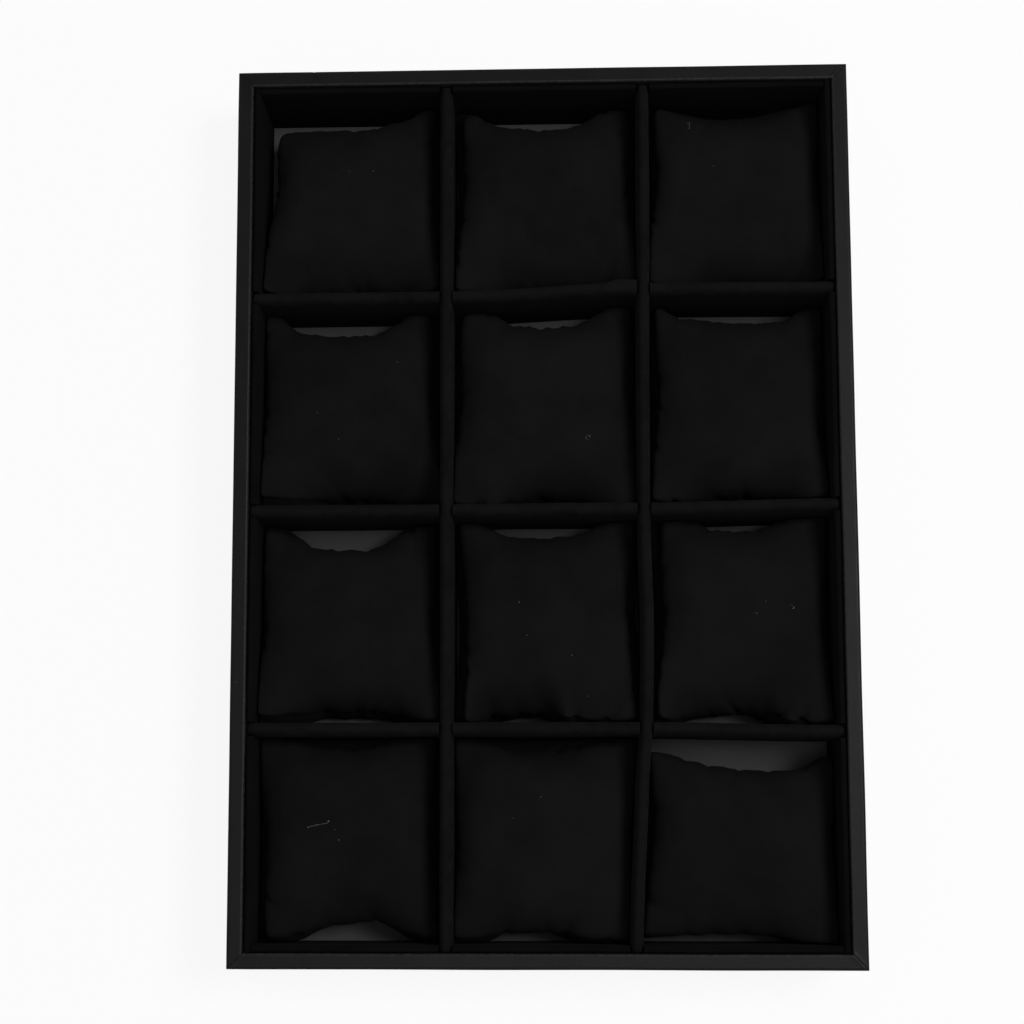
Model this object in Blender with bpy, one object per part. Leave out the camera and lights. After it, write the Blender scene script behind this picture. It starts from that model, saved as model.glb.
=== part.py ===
"""A watch display tray with twelve places, each holding a velvet pillow.

Metres, +Z up. X runs across the three columns and Y along the four rows, with
row 1 at +Y. The tray stands on its underside and the origin is the middle of it.
"""

import math
from functools import partial

import bmesh
import bpy
from mathutils import Matrix, Vector

MM = 0.001

# Driving sizes of the tray
TRAY_WIDTH = 240 * MM
TRAY_LENGTH = 350 * MM
TRAY_HEIGHT = 50 * MM
COLUMNS = 3
ROWS = 4

# Sheets and boards
LEATHERETTE = 0.6 * MM
WALL_BOARD = 4.2 * MM
BASE_BOARD = 3.0 * MM
BOTTOM_COVER = 0.8 * MM
FLOOR_LINING = 0.8 * MM
RIM_ROUND = 0.9 * MM

# The velvet liner inside the walls, a little lower than the rim
LINER = 2.4 * MM
LINER_DROP = 1.5 * MM
LINER_ROUND = 0.8 * MM
LINER_FOOT = 8.0 * MM

# The velvet dividers, half-lapped where they cross
DIVIDER = 4.2 * MM
DIVIDER_DROP = 2.5 * MM
DIVIDER_ROUND = 1.7 * MM
SLOT_CLEARANCE = 0.5 * MM
DIVIDER_STEPS = 16

# Pillows
PILLOW_HEIGHT = 35.0 * MM
PILLOW_CROWN = 17.0 * MM
PILLOW_ROUND = 0.6
PILLOW_SWELL = 7.0 * MM
PILLOW_EAR = 4.5 * MM
PILLOW_CLEARANCE = 0.6 * MM
PILLOW_CELLS = 8

# Touching pieces keep this gap
GAP = 0.3 * MM

# Sideways drift of the hand-fitted dividers: (share of the half length, drift in mm)
LONG_DRIFTS = {
    1: ((-1.0, 0.2), (1.0, 0.2)),
    2: ((-1.0, -3.6), (-0.72, -1.4), (-0.5, 1.1), (-0.3, 2.0), (0.0, 1.1), (1.0, 2.3)),
}
CROSS_DRIFTS = {
    1: ((-1.0, -0.6), (-0.3, -0.4), (0.3, 2.1), (1.0, 1.9)),
    2: ((-1.0, -0.7), (0.35, -0.5), (1.0, 0.7)),
    3: ((-1.0, -0.7), (0.3, -0.6), (1.0, -1.9)),
}

# Pillows in mm. Their four ears are set in from the clear corners of the cell, as (x, y, height over
# the floor), at the far left, far right, near right and near left. For the far, right, near and left
# edges: how far the seam is drawn in between the ears, its height there, and the share of the full
# swell that the underside has outside it.
PILLOWS = {
    (1, 1): (((6.3, 6.4, 17), (3.5, 0, 21), (0.8, 3.6, 31), (0, 4.4, 31)),
             (4, 1, -1, 0), (18, 24, 17, 22), (0, 0.6, 0.5, 0.2)),
    (1, 2): (((4.1, 3.7, 18), (4.1, 1.7, 18), (0, 3.9, 31), (1.1, 2.7, 31)),
             (5.6, 1, -0.5, 1), (18, 24, 17, 24), (0, 0.6, 0.5, 0.6)),
    (1, 3): (((4.1, 1.1, 18), (1, 0, 22), (0, 4.6, 31), (0.6, 2.6, 31)),
             (6.4, 0.5, -0.8, 0.5), (18, 24, 17, 24), (1, 0.6, 0.5, 0.6)),
    (2, 1): (((0.7, 0, 19), (5.8, 0, 19), (0.9, 1.4, 31), (0, 5.4, 31)),
             (8, 0.5, 0.9, 0.5), (18, 24, 17, 24), (0, 0.6, 0.4, 0.6)),
    (2, 2): (((4.9, 0, 18), (3.2, 0, 19), (0.9, 0.8, 31), (0, 2, 31)),
             (6.5, 0, 3, 0), (18, 24, 17, 24), (0, 0.6, 0.3, 0.6)),
    (2, 3): (((3.6, 1.1, 18), (0, 2.6, 19), (0.5, 3.4, 31), (1.3, 2.6, 31)),
             (5, 2, 1.5, 1), (18, 24, 17, 24), (0, 0.6, 0.4, 0.6)),
    (3, 1): (((1.6, 2.7, 17), (2.9, 1.5, 18), (0.8, 1.7, 31), (0, 4, 31)),
             (8.1, 1.5, 1.8, 0.5), (18, 24, 17, 24), (0, 0.6, 0.4, 0.6)),
    (3, 2): (((1.7, 0.4, 18), (0, 0, 19), (1, 2.3, 31), (4.6, 1.3, 30)),
             (5.5, 3, 2.6, 1.5), (18, 24, 17, 24), (0, 0.6, 0.2, 0.6)),
    (3, 3): (((6.2, 0, 19), (0, 0, 19), (0.3, 2.5, 31), (3.4, 2.6, 30)),
             (4.2, 2.5, 2, 0), (18, 24, 17, 24), (0, 0.6, 0.1, 0.6)),
    (4, 1): (((0, 0.9, 19), (2.3, 1.1, 19), (1.8, 2.7, 24), (4.8, 2.6, 24)),
             (3.2, 1.5, 4, 0), (17, 21, 17, 21), (1, 0.6, 0, 0.6)),
    (4, 2): (((0, 1.2, 19), (0, 2.1, 19), (0, 2.6, 27), (0, 3, 27)),
             (3.6, 0.5, 1.4, 0.5), (17, 22, 17, 22), (1, 0.6, 0, 0.6)),
    (4, 3): (((0, 6.2, 20), (0, 9, 20), (0, 0.4, 27), (0, 2.3, 27)),
             (3.6, 0.5, 1.5, 2), (18, 22, 17, 22), (0, 0.6, 0, 0.6)),
}
PLAIN_PILLOW = (((2, 2, 24),) * 4, (3, 1, 2, 1), (18, 23, 17, 23), (0, 0.6, 0.4, 0.6))

# Heights and widths that follow
RIM_WIDTH = 2 * LEATHERETTE + 2 * GAP + WALL_BOARD
BASE_LOW = BOTTOM_COVER + GAP
LINING_LOW = BASE_LOW + BASE_BOARD + GAP
FLOOR = LINING_LOW + FLOOR_LINING
LINER_OUTER = RIM_WIDTH + GAP
LINER_INNER = LINER_OUTER + LINER
LINER_TOP = TRAY_HEIGHT - LINER_DROP
LINER_LOW = FLOOR + GAP
SLOT_LOW = LINER_LOW + LINER_FOOT
DIVIDER_LOW = FLOOR + GAP
DIVIDER_TOP = TRAY_HEIGHT - DIVIDER_DROP
CELL_WIDTH = (TRAY_WIDTH - 2 * LINER_INNER - (COLUMNS - 1) * DIVIDER) / COLUMNS
CELL_LENGTH = (TRAY_LENGTH - 2 * LINER_INNER - (ROWS - 1) * DIVIDER) / ROWS
SLOT_WIDTH = DIVIDER + 2 * SLOT_CLEARANCE

# Directions out of a pillow's far, right, near and left edges
OUTWARD = ((0, 1), (1, 0), (0, -1), (-1, 0))

# The highest value of level ** 6 * (1 - level), which the swell is measured against
SWELL_PEAK = (6 / 7) ** 6 / 7

# Side name, length and distance of its outer face from the middle, each a quarter turn after the last
SIDES = (
    ("south", TRAY_WIDTH, TRAY_LENGTH / 2),
    ("east", TRAY_LENGTH, TRAY_WIDTH / 2),
    ("north", TRAY_WIDTH, TRAY_LENGTH / 2),
    ("west", TRAY_LENGTH, TRAY_WIDTH / 2),
)


def clear_scene():
    """Empty the file of objects."""
    for thing in list(bpy.data.objects):
        bpy.data.objects.remove(thing, do_unlink=True)


def make_collection(name):
    """A collection linked under the scene's own."""
    group = bpy.data.collections.new(name)
    bpy.context.scene.collection.children.link(group)
    return group


def make_material(name, colour, roughness):
    """A plain Principled material."""
    material = bpy.data.materials.new(name)
    material.use_nodes = True
    shader = material.node_tree.nodes["Principled BSDF"]
    shader.inputs["Base Color"].default_value = (*colour, 1.0)
    shader.inputs["Roughness"].default_value = roughness
    shader.inputs["Metallic"].default_value = 0.0
    return material


def make_object(name, shape, material, group, turn_faces=True):
    """An object from a bmesh, which is freed. Its faces are turned outwards if they aren't yet."""
    if turn_faces:
        bmesh.ops.recalc_face_normals(shape, faces=shape.faces)
    mesh = bpy.data.meshes.new(name)
    shape.to_mesh(mesh)
    shape.free()
    if material:
        mesh.materials.append(material)
    thing = bpy.data.objects.new(name, mesh)
    group.objects.link(thing)
    return thing


def add_box(shape, low, high):
    """Add a box between two corners to a bmesh and return its vertices."""
    low = Vector(low)
    high = Vector(high)
    size = Matrix.Diagonal((*(high - low), 1.0))
    place = Matrix.Translation((low + high) / 2)
    return bmesh.ops.create_cube(shape, size=1.0, matrix=place @ size)["verts"]


def sheet(name, inset, low, thickness, material, group):
    """A flat board or sheet, inset from the tray's outer faces."""
    half_width = TRAY_WIDTH / 2 - inset
    half_length = TRAY_LENGTH / 2 - inset
    shape = bmesh.new()
    add_box(shape, (-half_width, -half_length, low), (half_width, half_length, low + thickness))
    return make_object(name, shape, material, group)


def cut(thing, boxes, group):
    """Cut boxes out of an object with one hidden cutter."""
    shape = bmesh.new()
    for low, high in boxes:
        add_box(shape, low, high)
    cutter = make_object(thing.name + "_cutter", shape, None, group)
    cutter.matrix_world = thing.matrix_world
    cutter.hide_render = True
    cutter.display_type = "WIRE"
    boolean = thing.modifiers.new("slots", "BOOLEAN")
    boolean.operation = "DIFFERENCE"
    boolean.solver = "EXACT"
    boolean.object = cutter


def mitred_bar(name, profile, length, material, group):
    """A bar along X with 45 degree ends. The profile is (depth from the outer face, height)."""
    shape = bmesh.new()
    outline = [shape.verts.new((-1.0, depth, height)) for depth, height in profile]
    end = shape.faces.new(outline)
    grown = bmesh.ops.extrude_face_region(shape, geom=[end])
    for item in grown["geom"]:
        if isinstance(item, bmesh.types.BMVert):
            item.co.x = 1.0
    mitre = GAP / math.sqrt(2)
    for corner in shape.verts:
        corner.co.x *= length / 2 - corner.co.y - mitre
    return make_object(name, shape, material, group)


def quarter_arc(middle, radius, start):
    """Four points along a quarter circle, clockwise from a start angle in degrees."""
    angles = [math.radians(start - 30 * step) for step in range(4)]
    return [(middle[0] + radius * math.cos(a), middle[1] + radius * math.sin(a)) for a in angles]


def wrap_profile():
    """The leatherette folded round a wall board: under it, up, over and down inside."""
    top = TRAY_HEIGHT
    outer = quarter_arc((RIM_ROUND, top - RIM_ROUND), RIM_ROUND, 180)
    inner = quarter_arc((RIM_WIDTH - RIM_ROUND, top - RIM_ROUND), RIM_ROUND, 90)
    hem = FLOOR + GAP
    return [
        (RIM_WIDTH, 0.0), (0.0, 0.0), *outer, *inner, (RIM_WIDTH, hem),
        (RIM_WIDTH - LEATHERETTE, hem), (RIM_WIDTH - LEATHERETTE, top - LEATHERETTE),
        (LEATHERETTE, top - LEATHERETTE), (LEATHERETTE, LEATHERETTE), (RIM_WIDTH, LEATHERETTE),
    ]


def board_profile():
    """The wall board inside the wrap."""
    near = LEATHERETTE + GAP
    far = near + WALL_BOARD
    return [(near, near), (near, TRAY_HEIGHT - near), (far, TRAY_HEIGHT - near), (far, near)]


def place_side(thing, number, distance):
    """Turn a side about the middle and move it out to its face. South is number 0."""
    angle = number * math.pi / 2
    thing.rotation_euler = (0.0, 0.0, angle)
    thing.location = (distance * math.sin(angle), -distance * math.cos(angle), 0.0)


def build_walls(materials, group):
    """Four wall boards and the leatherette round each."""
    for number, (side, length, distance) in enumerate(SIDES):
        board = mitred_bar("wall_board_" + side, board_profile(), length, materials["board"], group)
        place_side(board, number, distance)
        wrap = mitred_bar("wrap_" + side, wrap_profile(), length, materials["leatherette"], group)
        place_side(wrap, number, distance)


def build_base(materials, group):
    """The sheet underneath, the base board and the grey lining on it."""
    sheet("bottom_cover", RIM_WIDTH + GAP, 0.0, BOTTOM_COVER, materials["cover"], group)
    board_edge = LEATHERETTE + GAP + WALL_BOARD + GAP
    sheet("base_board", board_edge, BASE_LOW, BASE_BOARD, materials["board"], group)
    sheet("floor_lining", board_edge, LINING_LOW, FLOOR_LINING, materials["lining"], group)


def drift(stations, share):
    """The sideways drift at a share of the half length, eased from station to station."""
    if share <= stations[0][0]:
        return stations[0][1] * MM
    for (start, low), (end, high) in zip(stations, stations[1:]):
        if share <= end:
            step = (share - start) / (end - start)
            return (low + (high - low) * step * step * (3 - 2 * step)) * MM
    return stations[-1][1] * MM


def long_line(number, y):
    """The X of a long divider's middle at a Y."""
    pitch = CELL_WIDTH + DIVIDER
    middle = (number - COLUMNS / 2) * pitch
    stations = LONG_DRIFTS.get(number, ((-1.0, 0.0), (1.0, 0.0)))
    return middle + drift(stations, y / (TRAY_LENGTH / 2 - LINER_INNER))


def cross_line(number, x):
    """The Y of a cross divider's middle at an X. Number 1 is the nearest to +Y."""
    pitch = CELL_LENGTH + DIVIDER
    middle = (ROWS / 2 - number) * pitch
    stations = CROSS_DRIFTS.get(number, ((-1.0, 0.0), (1.0, 0.0)))
    return middle + drift(stations, x / (TRAY_WIDTH / 2 - LINER_INNER))


def crossing(long_number, cross_number):
    """Where a long and a cross divider meet."""
    x = long_line(long_number, 0.0)
    for _ in range(4):
        y = cross_line(cross_number, x)
        x = long_line(long_number, y)
    return x, y


def divider(name, axis, line, end, notch, slots, material, groups):
    """A rounded board that follows a line, cut by (low, high) slots.

    axis is 0 for a board along X and 1 for one along Y. The board's foot is cut
    back from end to notch, where the liner passes under its tab.
    """
    shape = bmesh.new()
    low = [-DIVIDER / 2, -DIVIDER / 2, DIVIDER_LOW]
    high = [DIVIDER / 2, DIVIDER / 2, DIVIDER_TOP]
    low[axis] = -end
    high[axis] = end
    add_box(shape, low, high)
    top = [edge for edge in shape.edges if min(v.co.z for v in edge.verts) > DIVIDER_TOP - GAP]
    bmesh.ops.bevel(shape, geom=top, offset=DIVIDER_ROUND, affect="EDGES", segments=3, profile=0.5)
    for step in range(1, DIVIDER_STEPS):
        place = [0.0, 0.0, 0.0]
        place[axis] = end * (2 * step / DIVIDER_STEPS - 1)
        normal = [0.0, 0.0, 0.0]
        normal[axis] = 1.0
        everything = list(shape.verts) + list(shape.edges) + list(shape.faces)
        bmesh.ops.bisect_plane(shape, geom=everything, dist=1e-6, plane_co=place, plane_no=normal)
    for corner in shape.verts:
        corner.co[1 - axis] += line(corner.co[axis])
    board = make_object(name, shape, material, groups[0])
    boxes = list(slots)
    for way in (-1, 1):
        ends = sorted((way * notch, way * (end + DIVIDER)))
        middle = line(way * end)
        foot = [middle - DIVIDER, middle - DIVIDER, DIVIDER_LOW - DIVIDER]
        head = [middle + DIVIDER, middle + DIVIDER, SLOT_LOW + GAP]
        foot[axis] = ends[0]
        head[axis] = ends[1]
        boxes.append((foot, head))
    cut(board, boxes, groups[1])


def build_dividers(materials, groups):
    """The long dividers, slotted from below, and the cross dividers, slotted from above."""
    half_lap = (DIVIDER_LOW + DIVIDER_TOP) / 2
    reach = SLOT_WIDTH / 2
    for number in range(1, COLUMNS):
        slots = []
        for other in range(1, ROWS):
            x, y = crossing(number, other)
            foot = (x - DIVIDER, y - reach, DIVIDER_LOW - DIVIDER)
            slots.append((foot, (x + DIVIDER, y + reach, half_lap + GAP / 2)))
        end = TRAY_LENGTH / 2 - RIM_WIDTH - GAP
        notch = TRAY_LENGTH / 2 - LINER_INNER - GAP
        line = partial(long_line, number)
        name = "long_divider_" + str(number)
        divider(name, 1, line, end, notch, slots, materials["velvet"], groups)
    for number in range(1, ROWS):
        slots = []
        for other in range(1, COLUMNS):
            x, y = crossing(other, number)
            foot = (x - reach, y - DIVIDER, half_lap - GAP / 2)
            slots.append((foot, (x + reach, y + DIVIDER, DIVIDER_TOP + DIVIDER)))
        end = TRAY_WIDTH / 2 - RIM_WIDTH - GAP
        notch = TRAY_WIDTH / 2 - LINER_INNER - GAP
        line = partial(cross_line, number)
        name = "cross_divider_" + str(number)
        divider(name, 0, line, end, notch, slots, materials["velvet"], groups)


def liner_slots(side):
    """Places along a liner where divider ends pass through, in the liner's own X."""
    way = -1 if side in ("south", "west") else 1
    if side in ("south", "north"):
        far = way * (TRAY_LENGTH / 2 - LINER_INNER)
        places = [long_line(number, far) for number in range(1, COLUMNS)]
    else:
        far = way * (TRAY_WIDTH / 2 - LINER_INNER)
        places = [cross_line(number, far) for number in range(1, ROWS)]
    return [place if side in ("south", "east") else -place for place in places]


def build_liners(materials, groups):
    """Velvet-covered boards inside the walls. The east and west ones run full length."""
    for number, (side, length, distance) in enumerate(SIDES):
        runs_full = side in ("east", "west")
        half = length / 2 - LINER_OUTER if runs_full else length / 2 - LINER_INNER - GAP
        shape = bmesh.new()
        add_box(shape, (-half, LINER_OUTER, LINER_LOW), (half, LINER_INNER, LINER_TOP))
        top = [edge for edge in shape.edges if min(v.co.z for v in edge.verts) > LINER_TOP - GAP]
        long_top = [edge for edge in top if edge.calc_length() > LINER * 2]
        bmesh.ops.bevel(shape, geom=long_top, offset=LINER_ROUND, affect="EDGES", segments=2, profile=0.5)
        liner = make_object("liner_" + side, shape, materials["velvet"], groups[0])
        place_side(liner, number, distance)
        bpy.context.view_layer.update()
        boxes = []
        for place in liner_slots(side):
            foot = (place - SLOT_WIDTH / 2, LINER_OUTER - LINER, SLOT_LOW)
            boxes.append((foot, (place + SLOT_WIDTH / 2, LINER_INNER + LINER, LINER_TOP + LINER)))
        cut(liner, boxes, groups[1])


def cell_box(row, column):
    """The clear floor rectangle of a cell: low x, high x, low y, high y."""
    inner_x = TRAY_WIDTH / 2 - LINER_INNER
    inner_y = TRAY_LENGTH / 2 - LINER_INNER
    pitch_x = CELL_WIDTH + DIVIDER
    pitch_y = CELL_LENGTH + DIVIDER
    middle_x = (column - (COLUMNS + 1) / 2) * pitch_x
    middle_y = ((ROWS + 1) / 2 - row) * pitch_y
    steps = [step / 8 - 0.5 for step in range(9)]
    ys = [middle_y + step * pitch_y for step in steps]
    xs = [middle_x + step * pitch_x for step in steps]
    side = DIVIDER / 2
    low_x = -inner_x if column == 1 else max(long_line(column - 1, y) for y in ys) + side
    high_x = inner_x if column == COLUMNS else min(long_line(column, y) for y in ys) - side
    low_y = -inner_y if row == ROWS else max(cross_line(row, x) for x in xs) + side
    high_y = inner_y if row == 1 else min(cross_line(row - 1, x) for x in xs) - side
    clear = PILLOW_CLEARANCE
    return low_x + clear, high_x - clear, low_y + clear, high_y - clear


def seam_shares(u, v):
    """How much each ear and each edge's middle counts at a place on a pillow, u and v from -1 to 1."""
    ears = []
    for a, b in ((-1, 1), (1, 1), (1, -1), (-1, -1)):
        ears.append((1 + u * a) * (1 + v * b) * (u * a + v * b - 1) / 4)
    across = (1 - u * u) / 2
    along = (1 - v * v) / 2
    return ears + [across * (1 + v), along * (1 + u), across * (1 - v), along * (1 - u)]


def pillow_marks(cell, ears, drawn, heights):
    """The four ears and the middles of the four seams of one pillow."""
    low_x, high_x, low_y, high_y = cell
    walls = ((low_x, high_y), (high_x, high_y), (high_x, low_y), (low_x, low_y))
    ways = ((1, -1), (-1, -1), (-1, 1), (1, 1))
    marks = []
    for wall, way, (inset_x, inset_y, height) in zip(walls, ways, ears):
        marks.append(Vector((wall[0] + way[0] * inset_x * MM, wall[1] + way[1] * inset_y * MM, height * MM)))
    for first, (way, pull, height) in enumerate(zip(OUTWARD, drawn, heights)):
        middle = (marks[first] + marks[(first + 1) % 4]) / 2
        marks.append(Vector((middle.x - way[0] * pull * MM, middle.y - way[1] * pull * MM, height * MM)))
    return marks


def pillow_sheets(cell, marks, swells):
    """Two crowned sheets sewn together along a seam. The lower one lies flat on the floor and the walls."""
    shape = bmesh.new()
    bmesh.ops.create_grid(shape, x_segments=PILLOW_CELLS, y_segments=PILLOW_CELLS, size=1.0)
    sheet_parts = list(shape.verts) + list(shape.edges) + list(shape.faces)
    copied = bmesh.ops.duplicate(shape, geom=sheet_parts)["geom"]
    lower = {item for item in copied if isinstance(item, bmesh.types.BMVert)}
    bmesh.ops.reverse_faces(shape, faces=[item for item in copied if isinstance(item, bmesh.types.BMFace)])
    for corner in shape.verts:
        u = math.sin(corner.co.x * math.pi / 2)
        v = math.sin(corner.co.y * math.pi / 2)
        tip = PILLOW_EAR * abs(u * v) ** 12
        spot = Vector((-math.copysign(tip, u), -math.copysign(tip, v), 0.0))
        for share, mark in zip(seam_shares(u, v), marks):
            spot += share * mark
        rise = PILLOW_CROWN * max(0.0, 1 - max(abs(u), abs(v)) ** 2) ** PILLOW_ROUND
        if corner in lower:
            spot.z = max(0.0, spot.z - rise)
            for (way_x, way_y), amount in zip(OUTWARD, swells):
                level = max(0.0, way_x * u + way_y * v)
                across = way_x * v + way_y * u
                swell = level ** 6 * (1 - level) * (1 - across ** 6) / SWELL_PEAK
                spot.x += way_x * swell * amount * PILLOW_SWELL
                spot.y += way_y * swell * amount * PILLOW_SWELL
            spot.x = min(max(spot.x, cell[0]), cell[1])
            spot.y = min(max(spot.y, cell[2]), cell[3])
        else:
            spot.z += rise
        corner.co = spot
    bmesh.ops.remove_doubles(shape, verts=shape.verts, dist=GAP / 10)
    return shape


def fit_height(mesh, low, high):
    """Stretch a mesh so that it just fills a height."""
    places = [vertex.co.z for vertex in mesh.vertices]
    start = min(places)
    stretch = (high - low) / (max(places) - start)
    for vertex in mesh.vertices:
        vertex.co.z = low + (vertex.co.z - start) * stretch


def build_pillow(row, column, material, group):
    """One pillow, resting on the floor lining inside its cell."""
    cell = cell_box(row, column)
    ears, drawn, heights, swells = PILLOWS.get((row, column), PLAIN_PILLOW)
    shape = pillow_sheets(cell, pillow_marks(cell, ears, drawn, heights), swells)
    name = "pillow_r" + str(row) + "_c" + str(column)
    pillow = make_object(name, shape, material, group, turn_faces=False)
    bottom = FLOOR + GAP
    fit_height(pillow.data, bottom, bottom + PILLOW_HEIGHT)
    pillow.data.shade_smooth()


def build_tray():
    """The whole tray."""
    clear_scene()
    tray = make_collection("watch_display_tray")
    cutters = make_collection("cutters")
    materials = {
        "leatherette": make_material("leatherette", (0.025, 0.025, 0.027), 0.45),
        "velvet": make_material("velvet", (0.006, 0.006, 0.007), 0.95),
        "lining": make_material("floor_lining", (0.05, 0.05, 0.053), 0.9),
        "board": make_material("fibreboard", (0.34, 0.24, 0.15), 0.8),
        "cover": make_material("bottom_cover", (0.02, 0.02, 0.021), 0.85),
    }
    build_base(materials, tray)
    build_walls(materials, tray)
    build_liners(materials, (tray, cutters))
    build_dividers(materials, (tray, cutters))
    for row in range(1, ROWS + 1):
        for column in range(1, COLUMNS + 1):
            build_pillow(row, column, materials["velvet"], tray)


build_tray()
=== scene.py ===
# Looks of the watch display tray: black leatherette frame, velvet grid and twelve velvet pillows.
# Metres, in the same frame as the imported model: X across the columns, Y up the rows, Z up.
import math
import random

import bmesh
import bpy
import numpy as np
from mathutils import Matrix, Vector, noise


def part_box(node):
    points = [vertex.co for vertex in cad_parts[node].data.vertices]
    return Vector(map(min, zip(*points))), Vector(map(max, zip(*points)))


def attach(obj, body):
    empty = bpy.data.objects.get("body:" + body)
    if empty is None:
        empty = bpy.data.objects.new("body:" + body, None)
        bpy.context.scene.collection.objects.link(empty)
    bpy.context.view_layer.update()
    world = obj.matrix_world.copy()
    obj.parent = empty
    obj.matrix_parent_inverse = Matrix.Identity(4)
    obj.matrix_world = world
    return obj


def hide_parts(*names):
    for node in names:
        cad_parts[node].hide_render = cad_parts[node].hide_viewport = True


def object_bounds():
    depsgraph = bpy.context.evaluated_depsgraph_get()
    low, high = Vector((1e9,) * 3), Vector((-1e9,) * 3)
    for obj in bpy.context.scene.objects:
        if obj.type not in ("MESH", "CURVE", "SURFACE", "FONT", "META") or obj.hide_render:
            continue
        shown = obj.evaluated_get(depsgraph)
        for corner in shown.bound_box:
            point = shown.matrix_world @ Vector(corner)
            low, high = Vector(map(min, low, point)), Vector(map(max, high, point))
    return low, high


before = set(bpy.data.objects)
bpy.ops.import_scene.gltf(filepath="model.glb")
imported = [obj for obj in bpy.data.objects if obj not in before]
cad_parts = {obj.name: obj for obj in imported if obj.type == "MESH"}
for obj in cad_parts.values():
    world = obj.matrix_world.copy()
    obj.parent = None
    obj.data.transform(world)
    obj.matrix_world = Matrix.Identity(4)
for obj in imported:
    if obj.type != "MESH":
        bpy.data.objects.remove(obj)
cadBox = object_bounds()

mm = 0.001


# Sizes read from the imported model

def corners(node):
    low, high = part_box(node)
    return Vector(low), Vector(high)


def middleLine(node, axis):
    # where a divider's middle runs, from the stations of its solid
    stations = {}
    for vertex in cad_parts[node].data.vertices:
        along = round(vertex.co[axis], 4)
        stations.setdefault(along, []).append(vertex.co[1 - axis])
    points = [(along, (min(side) + max(side)) / 2) for along, side in sorted(stations.items())
              if 0.9 * dividerSet["thick"] < max(side) - min(side) < 1.1 * dividerSet["thick"]]

    def line(along):
        if along <= points[0][0]:
            return points[0][1]
        for (start, low), (end, high) in zip(points, points[1:]):
            if along <= end:
                return low + (high - low) * (along - start) / (end - start)
        return points[-1][1]
    return line


dividerSet = {
    "thick": 4.2 * mm,
    "round": 1.9 * mm,
    "roundSteps": 4,
    "step": 2.5 * mm,
    "wave": 0.16 * mm,
    "slotClear": 0.15 * mm,
    "bulge": 0.14 * mm,
    "pile": 0.32 * mm,
    "shoulder": 2.2,
    "lapClear": 0.15 * mm,
    "endRound": 1.6 * mm,
    "topWave": 0.25 * mm,
    # a loose fold of velvet on the first cross divider: middle, reach and width
    "flare": (33.5 * mm, 8.0 * mm, 1.7 * mm),
}

glueGap = 0.3 * mm
rimLow, rimHigh = corners("wrap_south")
trayHalf = Vector((cadBox[1][0], cadBox[1][1]))
trayTop = cadBox[1][2]
rimWide = rimHigh.y - rimLow.y
floorTop = corners("floor_lining")[1].z
linerInner = Vector((corners("liner_east")[0].x, corners("liner_north")[0].y))
dividerLow, dividerHigh = corners("long_divider_1")[0].z, corners("long_divider_1")[1].z
longLines = [middleLine("long_divider_1", 1), middleLine("long_divider_2", 1)]
crossLines = [middleLine("cross_divider_" + str(number), 0) for number in (1, 2, 3)]


# Shader helpers and shared groups

def addNode(tree, kind, label=None, **sockets):
    node = tree.nodes.new(kind)
    if label:
        node.label = label
    for name, value in sockets.items():
        node.inputs[name.replace("_", " ")].default_value = value
    return node


def maths(tree, operation, first, second=None):
    node = tree.nodes.new("ShaderNodeMath")
    node.operation = operation
    for place, value in enumerate((first, second)):
        if value is None:
            continue
        if isinstance(value, (int, float)):
            node.inputs[place].default_value = value
        else:
            tree.links.new(value, node.inputs[place])
    return node.outputs[0]


def mixColour(tree, factor, first, second):
    node = tree.nodes.new("ShaderNodeMix")
    node.data_type = "RGBA"
    for socket, value in (("Factor_Float", factor), ("A_Color", first), ("B_Color", second)):
        target = next(item for item in node.inputs if item.identifier == socket)
        if isinstance(value, bpy.types.NodeSocket):
            tree.links.new(value, target)
        else:
            target.default_value = value
    return next(item for item in node.outputs if item.identifier == "Result_Color")


def remap(tree, value, fromLow, fromHigh, toLow=0.0, toHigh=1.0):
    node = tree.nodes.new("ShaderNodeMapRange")
    node.clamp = True
    node.inputs["From Min"].default_value = fromLow
    node.inputs["From Max"].default_value = fromHigh
    node.inputs["To Min"].default_value = toLow
    node.inputs["To Max"].default_value = toHigh
    tree.links.new(value, node.inputs["Value"])
    return node.outputs["Result"]


def noiseAt(tree, vector, scale, detail=3.0, roughness=0.55):
    node = addNode(tree, "ShaderNodeTexNoise", Scale=scale, Detail=detail, Roughness=roughness)
    tree.links.new(vector, node.inputs["Vector"])
    return node.outputs["Fac"]


def newGroup(name, inputs, outputs):
    group = bpy.data.node_groups.new(name, "ShaderNodeTree")
    for label, kind, value in inputs:
        socket = group.interface.new_socket(name=label, in_out="INPUT", socket_type=kind)
        if value is not None:
            socket.default_value = value
    for label, kind in outputs:
        group.interface.new_socket(name=label, in_out="OUTPUT", socket_type=kind)
    return group, group.nodes.new("NodeGroupInput"), group.nodes.new("NodeGroupOutput")


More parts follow.
